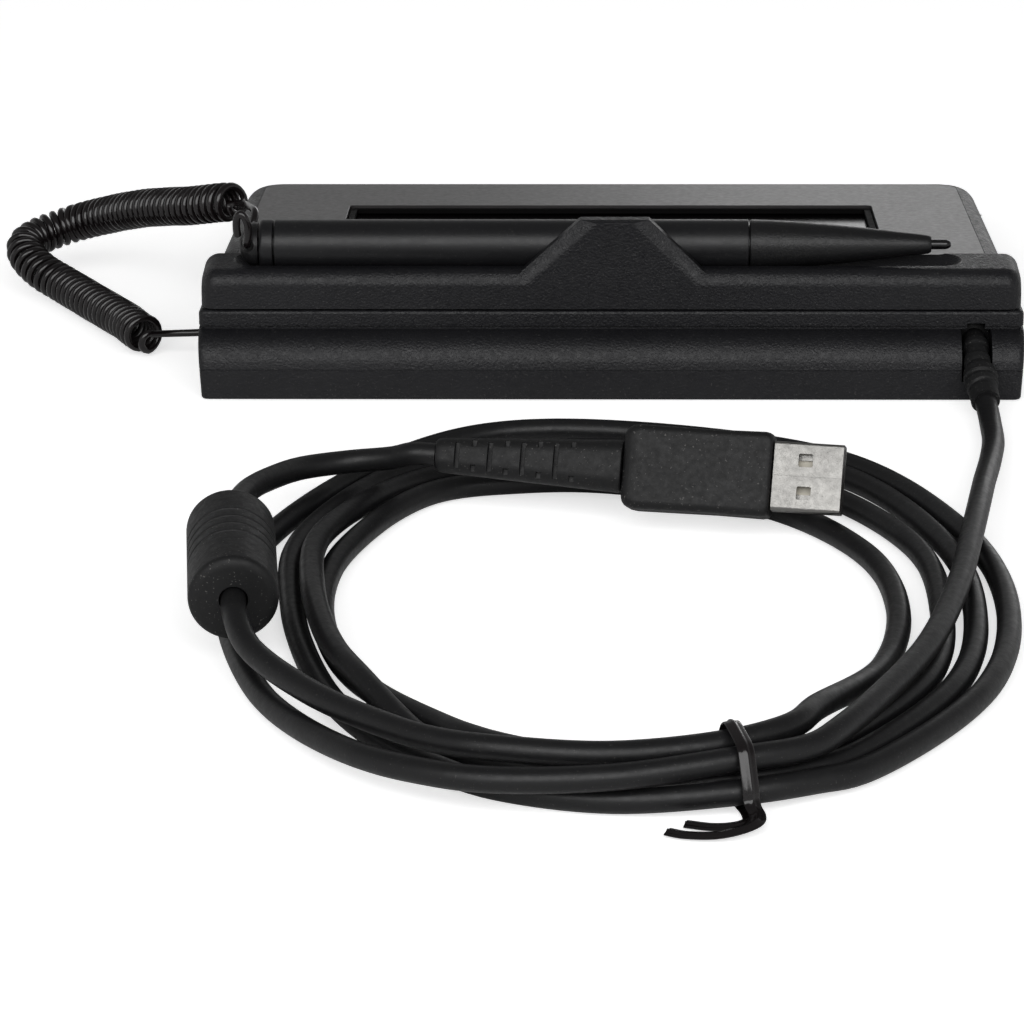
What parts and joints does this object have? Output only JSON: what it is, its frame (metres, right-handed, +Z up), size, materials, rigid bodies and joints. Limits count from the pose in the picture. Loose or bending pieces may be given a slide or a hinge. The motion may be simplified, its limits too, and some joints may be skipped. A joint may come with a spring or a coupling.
{
  "type": "signature pad",
  "caption": "Wedge-shaped signature pad with a writing window, a pen in a rear groove on a coiled tether, and a tied cable with a ferrite bead and a flat plug.",
  "frame": {"origin": "middle of the pad's footprint, on the surface that it stands on", "axes": "+X to the user's right, +Y away from the user towards the rear wall and the cable, +Z up"},
  "size_m": [0.1995, 0.3008, 0.0351],
  "materials": {
    "case": "black moulded plastic with fine spark grain, satin on its rounded edges",
    "plate": "dark matt sheet that looks mid grey at a grazing angle",
    "window": "near-black smooth sensor window",
    "rubber": "matt black rubber",
    "cable": "matt grey-black cable jacket",
    "tether": "glossy black, slightly brown",
    "pen": "smooth satin black",
    "nib": "polished black",
    "nickel": "nickel plate with fine sparkle",
    "steel": "plain zinc-plated steel",
    "board": "green solder mask",
    "chip": "matt black moulded plastic",
    "ferrite": "sintered dark grey",
    "cream": "cream moulded plastic",
    "amber": "amber film and epoxy",
    "gold": "gold flash over copper alloy"
  },
  "bodies": {
    "pad": {"upper_housing": "case", "lower_housing": "case", "foot_1": "rubber", "foot_2": "rubber", "foot_3": "rubber", "foot_4": "rubber", "writing_surface": "plate", "window_gasket": "rubber", "sensor_panel": "window", "sensor_backing": "steel", "sensor_flex": "amber", "sensor_screw_1": "steel", "sensor_screw_2": "steel", "sensor_screw_3": "steel", "sensor_screw_4": "steel", "circuit_board": "board", "controller_chip": "chip", "analog_chip": "chip", "crystal": "nickel", "capacitor_1": "amber", "capacitor_2": "amber", "flex_socket": "cream", "cable_socket": "cream", "inner_plug": "cream", "inner_lead": "cable", "cable_clamp": "steel", "clamp_screw_1": "steel", "clamp_screw_2": "steel", "board_screw_1": "steel", "board_screw_2": "steel", "board_screw_3": "steel", "board_screw_4": "steel", "case_screw_1": "steel", "case_screw_2": "steel", "case_screw_3": "steel", "case_screw_4": "steel", "tether_coil": "tether", "tether_anchor": "rubber", "cable_boot": "rubber", "usb_cable": "cable", "cable_tie": "tether", "ferrite_cover": "rubber", "ferrite_core": "ferrite", "plug_relief": "rubber", "plug_body": "rubber", "plug_shell": "nickel", "plug_tongue": "chip", "plug_contact_1": "gold", "plug_contact_2": "gold", "plug_contact_3": "gold", "plug_contact_4": "gold"},
    "tether_end": {"pen_eyelet": "tether", "tether_loop": "tether"},
    "pen": {"pen_cap": "pen", "pen_barrel": "pen", "pen_nose": "pen", "pen_nib": "nib", "pen_core": "ferrite"}
  },
  "joints": [
    {"name": "pen_lift", "type": "slide", "parent": "pad", "child": "tether_end", "axis": [0, 0, 1], "range_m": [0, 0.06], "deforming": ["tether_coil"]},
    {"name": "pen_spin", "type": "hinge", "parent": "tether_end", "child": "pen", "pos_m": [0, 0.0383, 0.0264], "axis": [1, 0, 0], "continuous": true}
  ]
}
